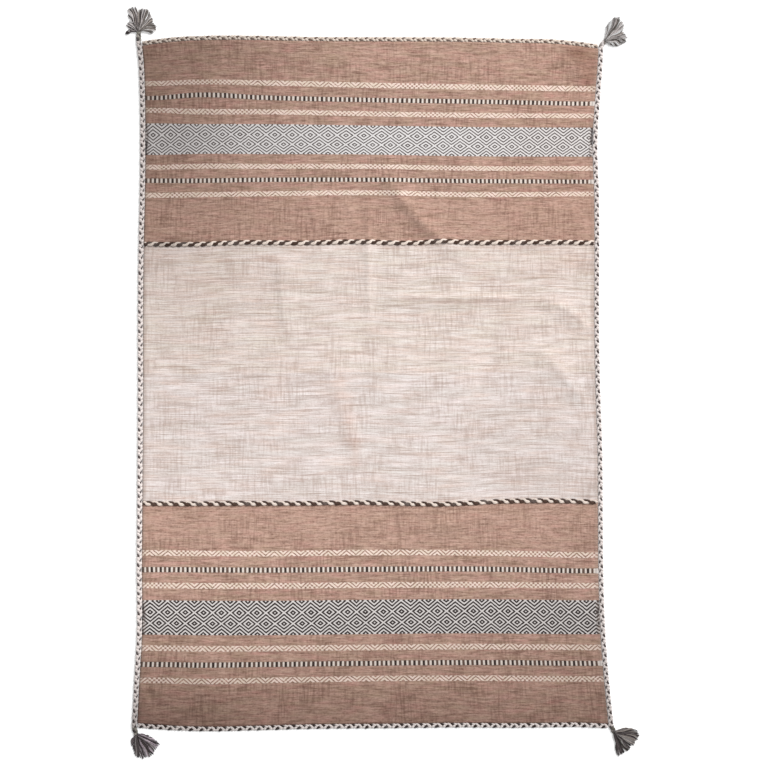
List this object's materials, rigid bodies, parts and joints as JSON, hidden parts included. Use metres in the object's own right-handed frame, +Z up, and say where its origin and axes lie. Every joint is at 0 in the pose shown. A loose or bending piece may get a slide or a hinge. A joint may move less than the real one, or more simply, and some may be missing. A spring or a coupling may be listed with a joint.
{
  "type": "kilim rug",
  "caption": "Flat-woven kilim rug with a cream middle, brown patterned ends, braided edges, cords couched on its face and a yarn tassel at each corner.",
  "frame": {"origin": "middle of the rug's underside, on the floor", "axes": "+X across the rug to its right, +Y along the rug to its top end, +Z up out of its face"},
  "size_m": [1.3373, 1.9546, 0.0119],
  "materials": {
    "woven_cloth": "matt cotton and wool flat weave",
    "edge_braid": "matt braided yarn, white with dark strands",
    "face_cord": "matt plied yarn, dark brown and white",
    "tassel_yarn": "matt loose yarn, mixed greys"
  },
  "bodies": {
    "root": {"cloth": "woven_cloth", "side_braid_left": "edge_braid", "side_braid_right": "edge_braid", "end_braid_top": "edge_braid", "end_braid_bottom": "edge_braid", "face_cord_upper": "face_cord", "face_cord_lower": "face_cord", "tassel_top_left": "tassel_yarn", "tassel_top_right": "tassel_yarn", "tassel_bottom_left": "tassel_yarn", "tassel_bottom_right": "tassel_yarn"}
  },
  "joints": []
}
